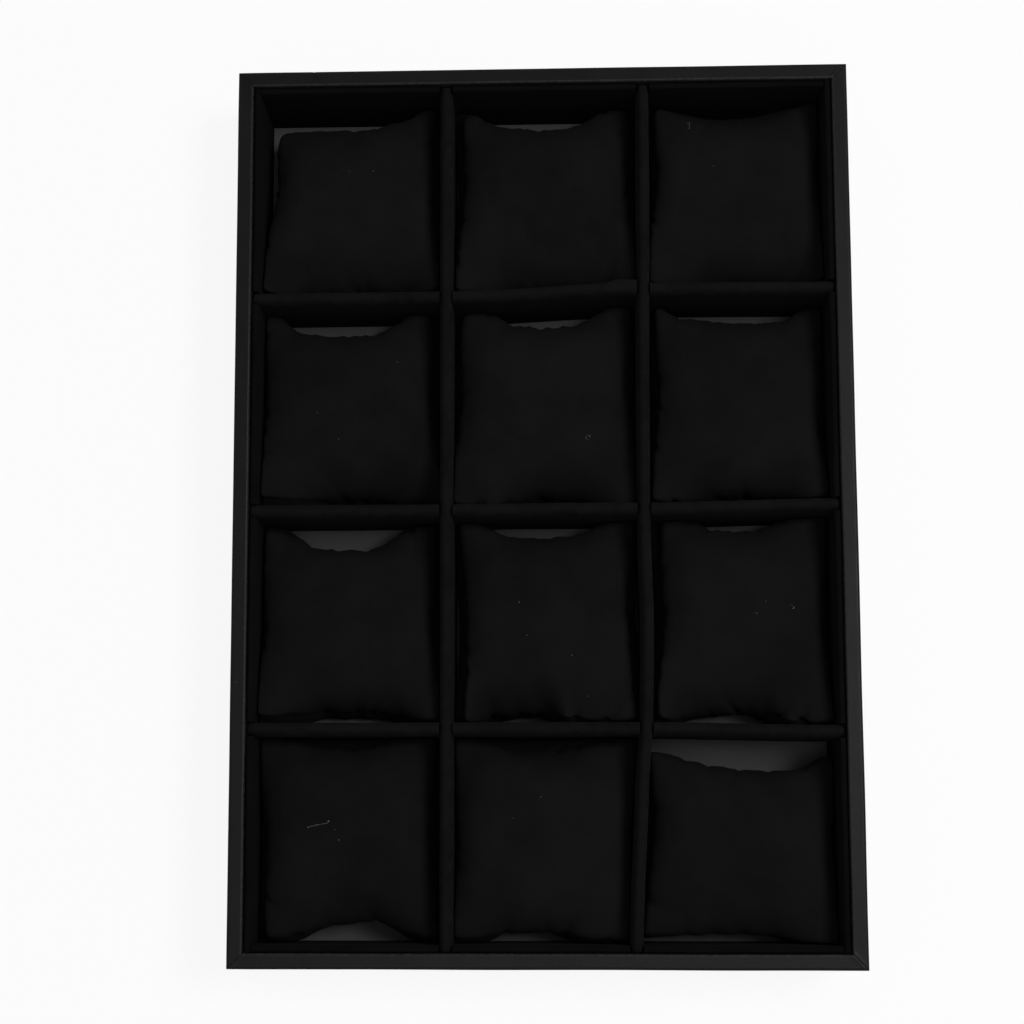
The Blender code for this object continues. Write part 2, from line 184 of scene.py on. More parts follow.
def dustGroup():
    # sparse pale specks, each a tiny blob in a random cell
    group, given, result = newGroup(
        "dustSpecks",
        [("Vector", "NodeSocketVector", None), ("Scale", "NodeSocketFloat", 120.0),
         ("Share", "NodeSocketFloat", 0.05), ("Size", "NodeSocketFloat", 0.06)],
        [("Mask", "NodeSocketFloat")])
    cells = addNode(group, "ShaderNodeTexVoronoi", "cells")
    group.links.new(given.outputs["Vector"], cells.inputs["Vector"])
    group.links.new(given.outputs["Scale"], cells.inputs["Scale"])
    split = addNode(group, "ShaderNodeSeparateColor")
    group.links.new(cells.outputs["Color"], split.inputs["Color"])
    chosen = maths(group, "LESS_THAN", split.outputs["Red"], given.outputs["Share"])
    sized = maths(group, "MULTIPLY", split.outputs["Green"], given.outputs["Size"])
    near = maths(group, "LESS_THAN", cells.outputs["Distance"], sized)
    strong = maths(group, "MULTIPLY", split.outputs["Blue"], 0.7)
    strong = maths(group, "ADD", strong, 0.3)
    mask = maths(group, "MULTIPLY", chosen, near)
    group.links.new(maths(group, "MULTIPLY", mask, strong), result.inputs["Mask"])
    return group


def pileGroup():
    # velvet pile: fine fibres, brushed patches and a slow change of nap
    group, given, result = newGroup(
        "velvetPile",
        [("Vector", "NodeSocketVector", None), ("Fibre", "NodeSocketFloat", 2600.0),
         ("Patch", "NodeSocketFloat", 85.0), ("Nap", "NodeSocketFloat", 26.0)],
        [("Tone", "NodeSocketFloat"), ("Height", "NodeSocketFloat")])

    def scaled(name, detail, roughness):
        node = addNode(group, "ShaderNodeTexNoise", name, Detail=detail, Roughness=roughness)
        group.links.new(given.outputs["Vector"], node.inputs["Vector"])
        group.links.new(given.outputs[name], node.inputs["Scale"])
        return node.outputs["Fac"]

    fibre = scaled("Fibre", 2.0, 0.6)
    patch = scaled("Patch", 3.0, 0.6)
    nap = scaled("Nap", 2.0, 0.5)
    tone = maths(group, "MULTIPLY", remap(group, patch, 0.3, 0.7), 0.35)
    tone = maths(group, "ADD", tone, maths(group, "MULTIPLY", remap(group, nap, 0.35, 0.65), 0.4))
    tone = maths(group, "ADD", tone, maths(group, "MULTIPLY", remap(group, fibre, 0.3, 0.7), 0.25))
    group.links.new(tone, result.inputs["Tone"])
    height = maths(group, "ADD", fibre, maths(group, "MULTIPLY", patch, 0.8))
    group.links.new(height, result.inputs["Height"])
    return group


def grainGroup():
    # leatherette: small irregular pebbles over a slow unevenness
    group, given, result = newGroup(
        "leatheretteGrain",
        [("Vector", "NodeSocketVector", None), ("Pebble", "NodeSocketFloat", 1500.0),
         ("Slow", "NodeSocketFloat", 70.0)],
        [("Crease", "NodeSocketFloat"), ("Height", "NodeSocketFloat"), ("Patch", "NodeSocketFloat")])
    pebbles = addNode(group, "ShaderNodeTexVoronoi", "pebbles")
    pebbles.feature = "DISTANCE_TO_EDGE"
    group.links.new(given.outputs["Pebble"], pebbles.inputs["Scale"])
    bend = addNode(group, "ShaderNodeTexNoise", "bend", Scale=300.0, Detail=2.0)
    group.links.new(given.outputs["Vector"], bend.inputs["Vector"])
    offset = addNode(group, "ShaderNodeVectorMath")
    offset.operation = "MULTIPLY_ADD"
    group.links.new(bend.outputs["Color"], offset.inputs[0])
    offset.inputs[1].default_value = (0.001, 0.001, 0.001)
    group.links.new(given.outputs["Vector"], offset.inputs[2])
    group.links.new(offset.outputs["Vector"], pebbles.inputs["Vector"])
    slow = addNode(group, "ShaderNodeTexNoise", "slow", Detail=3.0)
    group.links.new(given.outputs["Vector"], slow.inputs["Vector"])
    group.links.new(given.outputs["Slow"], slow.inputs["Scale"])
    crease = remap(group, pebbles.outputs["Distance"], 0.0, 0.12, 1.0, 0.0)
    height = maths(group, "SUBTRACT", maths(group, "MULTIPLY", slow.outputs["Fac"], 0.3), crease)
    group.links.new(crease, result.inputs["Crease"])
    group.links.new(height, result.inputs["Height"])
    group.links.new(slow.outputs["Fac"], result.inputs["Patch"])
    return group


dust = dustGroup()
pile = pileGroup()
grain = grainGroup()


def startMaterial(name, roughness, specular):
    material = bpy.data.materials.new(name)
    material.use_nodes = True
    tree = material.node_tree
    shader = tree.nodes["Principled BSDF"]
    shader.inputs["Roughness"].default_value = roughness
    shader.inputs["Specular IOR Level"].default_value = specular
    place = tree.nodes.new("ShaderNodeTexCoord").outputs["Object"]
    return material, tree, shader, place


def useGroup(tree, group, place, **values):
    node = tree.nodes.new("ShaderNodeGroup")
    node.node_tree = group
    tree.links.new(place, node.inputs["Vector"])
    for name, value in values.items():
        node.inputs[name].default_value = value
    return node


def addBump(tree, shader, height, strength, distance):
    bump = addNode(tree, "ShaderNodeBump", Strength=strength, Distance=distance)
    tree.links.new(height, bump.inputs["Height"])
    tree.links.new(bump.outputs["Normal"], shader.inputs["Normal"])


def velvetMaterial(name, settings):
    material, tree, shader, place = startMaterial(name, settings["roughness"], settings["specular"])
    shader.inputs["Sheen Weight"].default_value = settings["sheen"]
    shader.inputs["Sheen Roughness"].default_value = 0.5
    shader.inputs["Sheen Tint"].default_value = (0.8, 0.8, 0.8, 1.0)
    fibres = useGroup(tree, pile, place, Nap=settings["nap"])
    tone = mixColour(tree, fibres.outputs["Tone"], settings["dark"], settings["light"])
    # rubbed pile with a painted highlight: a lighter tone along the dividers' top edges, by the amount stored on
    # each corner; pillows and liners carry none
    wearAndHighlight = tree.nodes.new("ShaderNodeAttribute")
    wearAndHighlight.attribute_name = "wearAndHighlight"
    rubbedAndHighlight = maths(tree, "MULTIPLY", wearAndHighlight.outputs["Fac"], remap(tree, noiseAt(tree, place, 260.0), 0.4, 0.75))
    tone = mixColour(tree, rubbedAndHighlight, tone, settings["rubbedAndHighlight"])
    specks = useGroup(tree, dust, place, Scale=settings["dustScale"], Share=settings["dustShare"],
                      Size=settings["dustSize"])
    tone = mixColour(tree, specks.outputs["Mask"], tone, settings["dustColour"])
    tree.links.new(tone, shader.inputs["Base Color"])
    addBump(tree, shader, fibres.outputs["Height"], settings["bump"], 0.25 * mm)
    return material


pillowVelvetSet = {
    "dark": (0.0042, 0.0042, 0.0042, 1.0),
    "light": (0.0074, 0.0074, 0.0073, 1.0),
    # lighter tone for rubbed pile with a painted highlight on the dividers' top edges
    "rubbedAndHighlight": (0.0095, 0.0095, 0.0094, 1.0),
    "roughness": 0.95,
    "specular": 0.015,
    "sheen": 0.003,
    "nap": 22.0,
    "bump": 0.35,
    "dustScale": 240.0,
    "dustShare": 0.03,
    "dustSize": 0.055,
    "dustColour": (0.06, 0.06, 0.06, 1.0),
}
# the divider velvet is the pillow velvet made a little darker: painted shade for the dividers' faces
boardPaintedShadeVelvetSet = dict(pillowVelvetSet, dark=(0.0036, 0.0036, 0.0036, 1.0), light=(0.0064, 0.0064, 0.0063, 1.0),
                      nap=40.0, dustShare=0.045)
# the liner velvet is the divider velvet made darker still: painted shade for the cell walls
linerPaintedShadeVelvetSet = dict(boardPaintedShadeVelvetSet, dark=(0.0022, 0.0022, 0.0022, 1.0), light=(0.004, 0.004, 0.0039, 1.0))

leatheretteSet = {
    "dark": (0.0036, 0.0036, 0.0036, 1.0),
    "light": (0.0052, 0.0052, 0.0052, 1.0),
    # lighter tone of the rim's inner arris: some wear with a painted highlight
    "wornAndHighlight": (0.022, 0.022, 0.022, 1.0),
    "roughness": 0.32,
    "mattLow": 0.28,
    "mattHigh": 0.36,
    "creaseMatt": 0.2,
    "specular": 0.058,
    "bump": 0.12,
    "dust": {"Scale": 170.0, "Share": 0.035, "Size": 0.07},
    "dustColour": (0.32, 0.32, 0.32, 1.0),
}

liningSet = {
    "dark": (0.036, 0.036, 0.0365, 1.0),
    "light": (0.05, 0.05, 0.0505, 1.0),
    "roughness": 0.92,
    "specular": 0.12,
    "bump": 0.25,
    "dust": {"Scale": 140.0, "Share": 0.06, "Size": 0.08},
    "dustColour": (0.3, 0.3, 0.3, 1.0),
}

# pressed paper under the tray
backingSet = {
    "dark": (0.014, 0.014, 0.015, 1.0),
    "light": (0.021, 0.021, 0.022, 1.0),
    "roughness": 0.85,
    "specular": 0.25,
    "patches": 12.0,
    "fibres": 900.0,
    "bump": 0.3,
    "bumpDepth": 0.15 * mm,
}

fibreboardSet = {
    "dark": (0.26, 0.17, 0.1, 1.0),
    "light": (0.4, 0.29, 0.19, 1.0),
    "roughness": 0.8,
    "specular": 0.3,
    "patches": 1200.0,
    "fibres": 1200.0,
    "bump": 0.2,
    "bumpDepth": 0.1 * mm,
}

lintSet = {
    "dark": (0.03, 0.03, 0.03, 1.0),
    "light": (0.17, 0.17, 0.17, 1.0),
    "roughness": 0.9,
    "specular": 0.1,
    "threadRadius": 0.07 * mm,
    "threadSides": 5,
    "unevenness": 0.35,
}


def leatheretteMaterial():
    material, tree, shader, place = startMaterial("leatherette", leatheretteSet["roughness"],
                                                  leatheretteSet["specular"])
    pebbles = useGroup(tree, grain, place)
    tone = mixColour(tree, pebbles.outputs["Patch"], leatheretteSet["dark"], leatheretteSet["light"])
    # painted highlight with some wear: the rim's inner arris, and faintly its outer top edge, are lightened by the
    # stored amount
    wearAndHighlight = tree.nodes.new("ShaderNodeAttribute")
    wearAndHighlight.attribute_name = "wearAndHighlight"
    rubbedAndHighlight = remap(tree, noiseAt(tree, place, 900.0), 0.3, 0.7)
    rubbedAndHighlight = maths(tree, "MULTIPLY", wearAndHighlight.outputs["Fac"], rubbedAndHighlight)
    tone = mixColour(tree, rubbedAndHighlight, tone, leatheretteSet["wornAndHighlight"])
    specks = useGroup(tree, dust, place, **leatheretteSet["dust"])
    tone = mixColour(tree, specks.outputs["Mask"], tone, leatheretteSet["dustColour"])
    tree.links.new(tone, shader.inputs["Base Color"])
    matt = maths(tree, "MULTIPLY", pebbles.outputs["Crease"], leatheretteSet["creaseMatt"])
    patchy = remap(tree, pebbles.outputs["Patch"], 0.3, 0.7, leatheretteSet["mattLow"], leatheretteSet["mattHigh"])
    matt = maths(tree, "ADD", matt, patchy)
    tree.links.new(matt, shader.inputs["Roughness"])
    addBump(tree, shader, pebbles.outputs["Height"], leatheretteSet["bump"], 0.12 * mm)
    return material


def liningMaterial():
    material, tree, shader, place = startMaterial("floorLining", liningSet["roughness"], liningSet["specular"])
    fine = noiseAt(tree, place, 1500.0)
    slow = noiseAt(tree, place, 40.0)
    blend = maths(tree, "ADD", maths(tree, "MULTIPLY", fine, 0.6), maths(tree, "MULTIPLY", slow, 0.4))
    tone = mixColour(tree, remap(tree, blend, 0.3, 0.7), liningSet["dark"], liningSet["light"])
    specks = useGroup(tree, dust, place, **liningSet["dust"])
    tone = mixColour(tree, specks.outputs["Mask"], tone, liningSet["dustColour"])
    tree.links.new(tone, shader.inputs["Base Color"])
    addBump(tree, shader, fine, liningSet["bump"], 0.2 * mm)
    return material


def sheetMaterial(name, settings):
    # a plain board or paper, with patches of tone and a fine roughness
    material, tree, shader, place = startMaterial(name, settings["roughness"], settings["specular"])
    patches = remap(tree, noiseAt(tree, place, settings["patches"]), 0.3, 0.7)
    tree.links.new(mixColour(tree, patches, settings["dark"], settings["light"]), shader.inputs["Base Color"])
    addBump(tree, shader, noiseAt(tree, place, settings["fibres"]), settings["bump"], settings["bumpDepth"])
    return material


def lintMaterial():
    material, tree, shader, place = startMaterial("lint", lintSet["roughness"], lintSet["specular"])
    tone = mixColour(tree, noiseAt(tree, place, 3000.0), lintSet["dark"], lintSet["light"])
    tree.links.new(tone, shader.inputs["Base Color"])
    return material


pillowVelvet = velvetMaterial("pillowVelvet", pillowVelvetSet)
boardPaintedShadeVelvet = velvetMaterial("dividerPaintedShadeVelvet", boardPaintedShadeVelvetSet)
linerPaintedShadeVelvet = velvetMaterial("linerPaintedShadeVelvet", linerPaintedShadeVelvetSet)
leatherette = leatheretteMaterial()
lining = liningMaterial()
backing = sheetMaterial("backingSheet", backingSet)
fibreboard = sheetMaterial("fibreboard", fibreboardSet)
lint = lintMaterial()
print("materials ready")


# Mesh helpers

def finishPiece(name, shape, material, replaced=(), smooth=40):
    bmesh.ops.recalc_face_normals(shape, faces=shape.faces)
    mesh = bpy.data.meshes.new(name)
    shape.to_mesh(mesh)
    shape.free()
    mesh.materials.append(material)
    mesh.shade_smooth()
    if smooth < 180:
        mesh.set_sharp_from_angle(angle=math.radians(smooth))
    piece = bpy.data.objects.new(name, mesh)
    bpy.context.scene.collection.objects.link(piece)
    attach(piece, "root")
    if replaced:
        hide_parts(*replaced)
    return piece


def sweep(shape, section, stations, place):
    # a closed section carried along stations, each step an extrusion of the end face, which then goes
    # each section point's third value, an amount of wear and painted highlight, is kept on its corners
    wearAndHighlight = shape.verts.layers.float.new("wearAndHighlight")
    face = shape.faces.new([shape.verts.new(place(stations[0], point)) for point in section])
    rubbedAndHighlight = [point[2] if len(point) > 2 else 0.0 for point in section]
    for corner, amount in zip(face.verts, rubbedAndHighlight):
        corner[wearAndHighlight] = amount
    for number, station in enumerate(stations[1:]):
        inner = face
        grown = bmesh.ops.extrude_face_region(shape, geom=[inner], use_keep_orig=number == 0)
        face = next(item for item in grown["geom"] if isinstance(item, bmesh.types.BMFace))
        if number:
            shape.faces.remove(inner)
        for corner, point, amount in zip(face.verts, section, rubbedAndHighlight):
            corner.co = place(station, point)
            corner[wearAndHighlight] = amount


# the last value of each point is an amount of wear and painted highlight
def arc(middle, radius, start, end, steps, wornAndHighlight=0.0):
    points = []
    for step in range(steps + 1):
        angle = math.radians(start + (end - start) * step / steps)
        points.append((middle[0] + radius * math.cos(angle), middle[1] + radius * math.sin(angle), wornAndHighlight))
    return points


def evenStations(low, high, step, extra=()):
    count = max(2, round((high - low) / step))
    stations = [low + (high - low) * place / count for place in range(count + 1)]
    stations = [one for one in stations if all(abs(one - other) > 0.4 * step for other in extra)]
    return sorted(set(stations) | {low, high} | set(extra))


# The leatherette frame: four mitred sides

wrapSet = {
    "skin": 0.6 * mm,
    "outerRound": 1.1 * mm,
    "innerRound": 0.7 * mm,
    "mitreGap": 0.1 * mm,
    "step": 3.0 * mm,
    "wave": 0.12 * mm,
    "waveLength": 0.045,
    "seamWidth": 0.9 * mm,
    "seamPlace": 0.8,
    "seamDip": 0.12,
    "seamHeight": 0.6,
    "highest": 0.3 * mm,
    # height of the folded leatherette at the left and right mitre of each side
    "seams": {"south": (0.2, 0.55), "east": (0.55, 0.2), "north": (0.2, 0.06), "west": (0.06, 0.2)},
    # creases pressed across the rim: side, place along it, width and depth, in mm
    "creases": (("west", 122, 0.5, 0.3), ("west", 154, 0.35, 0.16), ("north", 90, 0.9, 0.35)),
}
sideTurns = {"south": 0, "east": 90, "north": 180, "west": 270}


def sideMatrix(side):
    turn = math.radians(sideTurns[side])
    distance = trayHalf.x if side in ("east", "west") else trayHalf.y
    out = Vector((distance * math.sin(turn), -distance * math.cos(turn), 0.0))
    return Matrix.Translation(out) @ Matrix.Rotation(turn, 4, "Z")


def wrapSection():
    skin, outer, inner = wrapSet["skin"], wrapSet["outerRound"], wrapSet["innerRound"]
    hem = floorTop + glueGap
    wide, top = rimWide, trayTop
    points = [(wide, 0.0), (0.0, 0.0)]
    # wear and painted highlight: a little on the outer top edge, most on the inner arris
    points += arc((outer, top - outer), outer, 180, 90, 6, 0.2)
    points += [(outer + 0.3 * mm, top, 0.0), (wide - inner - 0.3 * mm, top, 0.0)]
    points += arc((wide - inner, top - inner), inner, 90, 0, 5, 0.8)
    points += [(wide, top - 6 * mm), (wide, hem), (wide - skin, hem), (wide - skin, top - 2 * skin)]
    points += [(wide - 2 * skin, top - skin), (2 * skin, top - skin), (skin, top - 2 * skin)]
    return points + [(skin, skin), (wide, skin)]


def buildWrap(side):
    length = trayHalf.x if side in ("south", "north") else trayHalf.y
    matrix = sideMatrix(side)
    seams = wrapSet["seams"][side]
    creases = [crease for crease in wrapSet["creases"] if crease[0] == side]
    fine = [length - 3 * mm * share for share in (0.12, 0.3, 0.55, 0.85)]
    marks = [crease[1] * mm + way * crease[2] * mm for crease in creases for way in (-1, -0.5, 0, 0.5, 1)]
    extra = [way * one for one in fine for way in (-1, 1)] + marks
    stations = evenStations(-length, length, wrapSet["step"], tuple(extra))

    def place(station, point):
        depth, height = point[0], point[1]
        share = station / length
        along = share * (length - depth - wrapSet["mitreGap"])
        if height > trayTop / 2:
            lift = noise.noise(Vector((along / wrapSet["waveLength"], depth * 200, sideTurns[side])))
            depth += wrapSet["wave"] * lift * min(1.0, (1 - abs(share)) * 12)
            near = (1 - abs(share)) * length / wrapSet["seamWidth"]
            seam = seams[0] if share < 0 else seams[1]
            rough = 0.6 + 0.7 * noise.noise(Vector((depth * 900, seam * 9, 4.0)))
            ridge = seam * rough * math.exp(-(near - wrapSet["seamPlace"]) ** 2) - wrapSet["seamDip"]
            height += ridge * math.exp(-near / 3) * mm * wrapSet["seamHeight"]
            for crease in creases:
                off = (along / mm - crease[1]) / crease[2]
                height -= crease[3] * mm * math.exp(-off * off * 3)
            height = min(height, trayTop + wrapSet["highest"])
        return matrix @ Vector((along, depth, height))

    shape = bmesh.new()
    sweep(shape, wrapSection(), stations, place)
    return finishPiece("leatherette_" + side, shape, leatherette, ("wrap_" + side,), 50)


for side in sideTurns:
    buildWrap(side)
print("frame wrapped")


# Velvet-covered boards: liners and dividers share one swept section

def boardSection(thick, low, high, radius, steps, bulge, shoulder=1.0, wornAndHighlight=0.0):
    # around the board: up one side, over the rounded top and down the other
    half = thick / 2
    rise = high - low
    points = [(-half, low), (-half - bulge * 0.4, low + 0.35 * rise), (-half - bulge, low + 0.75 * rise)]
    rounds = arc((-half + radius, high - radius), radius, 180, 90, steps, wornAndHighlight)
    rounds += arc((half - radius, high - radius), radius, 90, 0, steps, wornAndHighlight)
    # the rounded top edges carry rubbed pile with a painted highlight; the flat middle of the top gets a fifth of it
    for across, height, rubbedAndHighlight in rounds:
        if abs(across) < half - radius * 0.6:
            rubbedAndHighlight *= 0.2
        points.append((across, high - (high - height) * shoulder, rubbedAndHighlight))
    points += [(half + bulge, low + 0.75 * rise), (half + bulge * 0.4, low + 0.35 * rise), (half, low)]
    return points


def softWave(along, height, seed, amount):
    slow = noise.noise(Vector((along * 45, height * 30, seed)))
    quick = noise.noise(Vector((along * 170, height * 60, seed + 7.0)))
    return amount * (slow + 0.45 * quick)


def buildBoard(name, axis, line, ends, foot, lowered, raised, tops, seed):
    # lowered: places where the top drops to let another board pass over; raised: where the foot lifts
    shape = bmesh.new()
    thick = dividerSet["thick"]
    half = thick / 2 + dividerSet["pile"] + dividerSet["slotClear"]
    edge = 0.02 * mm
    extra = []
    for middle in lowered + raised:
        extra += [middle - half - edge, middle - half, middle + half, middle + half + edge]
    extra += [way * foot + side for way in (-1, 1) for side in (-edge, 0.0)]
    extra += [way * (ends - back * mm) for way in (-1, 1) for back in (0.25, 0.7, 1.4)]
    stations = evenStations(-ends, ends, dividerSet["step"], tuple(extra))
    # the dividers' top edges get the full amount of rubbed pile and painted highlight
    section = boardSection(thick + 2 * dividerSet["pile"], dividerLow, dividerHigh, dividerSet["round"],
                           dividerSet["roundSteps"], dividerSet["bulge"], dividerSet["shoulder"], 1.0)
    flareAt, flareReach, flareWide = dividerSet["flare"]
    lap = (dividerLow + dividerHigh) / 2

    def place(station, point):
        across, height = point[0], point[1]
        middle = line(station)
        high = (height - dividerLow) / (dividerHigh - dividerLow)
        wave = softWave(station, height, seed, dividerSet["wave"])
        inSlot = any(abs(station - one) < half + edge / 2 for one in lowered)
        overSlot = any(abs(station - one) < half + edge / 2 for one in raised)
        if inSlot:
            height = min(height, lap - dividerSet["lapClear"])
        elif overSlot:
            height = max(height, lap + dividerSet["lapClear"])
        if abs(station) > foot - edge / 2:
            height = max(height, linerSlotLow + glueGap)
        if high > 0.8:
            if not inSlot:
                height += tops(station) + softWave(station, 0.0, seed + 3.0, dividerSet["topWave"])
            ending = (ends - abs(station)) / dividerSet["endRound"]
            if ending < 1:
                height -= (1 - math.sqrt(max(0.0, 1 - (1 - ending) ** 2))) * 1.3 * mm
        across += wave * min(1.0, 0.25 + high)
        if name == "cross_divider_1" and across > 0 and high > 0.5:
            across += flareWide * math.exp(-((station - flareAt) / flareReach) ** 4) * (2 * high - 1) ** 2
        spot = [0.0, 0.0, height]
        spot[axis] = station
        spot[1 - axis] = middle + across
        return Vector(spot)

    sweep(shape, section, stations, place)
    return finishPiece(name + "_velvet", shape, boardPaintedShadeVelvet, (name,), 60)


linerSlotLow = dividerLow + 8.0 * mm
longEnd = trayHalf.y - rimWide - glueGap
longFoot = linerInner.y - glueGap
crossEnd = trayHalf.x - rimWide - glueGap
crossFoot = linerInner.x - glueGap


def meeting(longLine, crossLine):
    x = longLine(0.0)
    for _ in range(4):
        y = crossLine(x)
        x = longLine(y)
    return x, y


for number, line in enumerate(longLines):
    places = [meeting(line, crossLine)[1] for crossLine in crossLines]
    buildBoard("long_divider_" + str(number + 1), 1, line, longEnd, longFoot, [], places,
               lambda along: 0.0, 11.0 + number)

# the first cross divider stands a little proud where it meets the right long divider
crossTops = {1: (0.031, 0.012, 0.5 * mm), 2: (0.0, 0.03, 0.1 * mm), 3: (-0.07, 0.03, 0.1 * mm)}


def crossTop(number):
    middle, reach, lift = crossTops[number]
    return lambda along: lift * math.exp(-((along - middle) / reach) ** 2)


for number, line in enumerate(crossLines, start=1):
    places = [meeting(longLine, line)[0] for longLine in longLines]
    buildBoard("cross_divider_" + str(number), 0, line, crossEnd, crossFoot, places, [], crossTop(number),
               21.0 + number)
print("dividers covered")

linerSet = {
    "round": 0.95 * mm,
    "step": 3.0 * mm,
    "wave": 0.15 * mm,
    "slotClear": 0.2 * mm,
}


def buildLiner(side):
    low, high = corners("liner_" + side)
    across = 0 if side in ("east", "west") else 1
    axis = 1 - across
    middle = (low[across] + high[across]) / 2
    thick = high[across] - low[across]
    ends = high[axis]
    if axis == 0:
        places = [line(math.copysign(longEnd, middle)) for line in longLines]
    else:
        places = [line(math.copysign(crossEnd, middle)) for line in crossLines]
    half = dividerSet["thick"] / 2 + dividerSet["pile"] + linerSet["slotClear"]
    edge = 0.02 * mm
    extra = []
    for one in places:
        extra += [one - half - edge, one - half, one + half, one + half + edge]
    stations = evenStations(-ends, ends, linerSet["step"], tuple(extra))
    section = boardSection(thick, low.z, high.z, linerSet["round"], 4, 0.0)

    def place(station, point):
        sideways, height = point[0], point[1]
        share = (height - low.z) / (high.z - low.z)
        if any(abs(station - one) < half + edge / 2 for one in places):
            height = min(height, linerSlotLow)
        elif share > 0.9:
            height += softWave(station, 0.0, middle * 90, 0.2 * mm)
        sideways += softWave(station, height, middle * 70, linerSet["wave"]) * share
        spot = [0.0, 0.0, height]
        spot[axis] = station
        spot[across] = middle + sideways
        return Vector(spot)

    shape = bmesh.new()
    sweep(shape, section, stations, place)
    return finishPiece("liner_" + side + "_velvet", shape, linerPaintedShadeVelvet, ("liner_" + side,), 60)


for side in sideTurns:
    buildLiner(side)
print("liners covered")


# Pillows: two sheets sewn round their edge, blown up as cloth, then laid in their cells

pillowSet = {
    "cells": 52,
    "simScale": 10.0,
    "half": 39.0 * mm,
    "pressure": 5.5,
    "pressureStep": 0.15,
    "frames": 26,
    "crown": 17.0 * mm,
    "fullness": 0.8,
    "swell": 7.0 * mm,
    "swellSpread": 6,
    "cornerSwell": 6.0 * mm,
    "boxy": 9,
    "evenOut": 60,
    "earRound": 3.6 * mm,
    "earReach": 2.2 * mm,
    "earPower": 12,
    "gather": 0.9 * mm,
    "ragged": 0.3 * mm,
    "raggedLength": 2.2 * mm,
    "gatherLength": 7.0 * mm,
    "gatherReach": 5.0 * mm,
    "folds": 5,
    "foldDepth": 1.5 * mm,
    "foldWidth": 1.5 * mm,
    "foldReach": 8.0 * mm,
    "foldSpread": 0.05,
    "foldInset": 3.0 * mm,
    "nearGathers": 0.45,
    "undersideDrop": 0.85,
    "swellPeak": 17.6,
    "cornerPeak": 3.2,
    "floorTurn": 1.2 * mm,
    "wallTurn": 0.5 * mm,
    "clear": 0.5 * mm,
}

clothSet = {
    "quality": 7,
    "mass": 0.2,
    "tension_stiffness": 22.0,
    "compression_stiffness": 14.0,
    "shear_stiffness": 8.0,
    "bending_stiffness": 0.08,
    "air_damping": 2.0,
    "use_pressure": True,
}

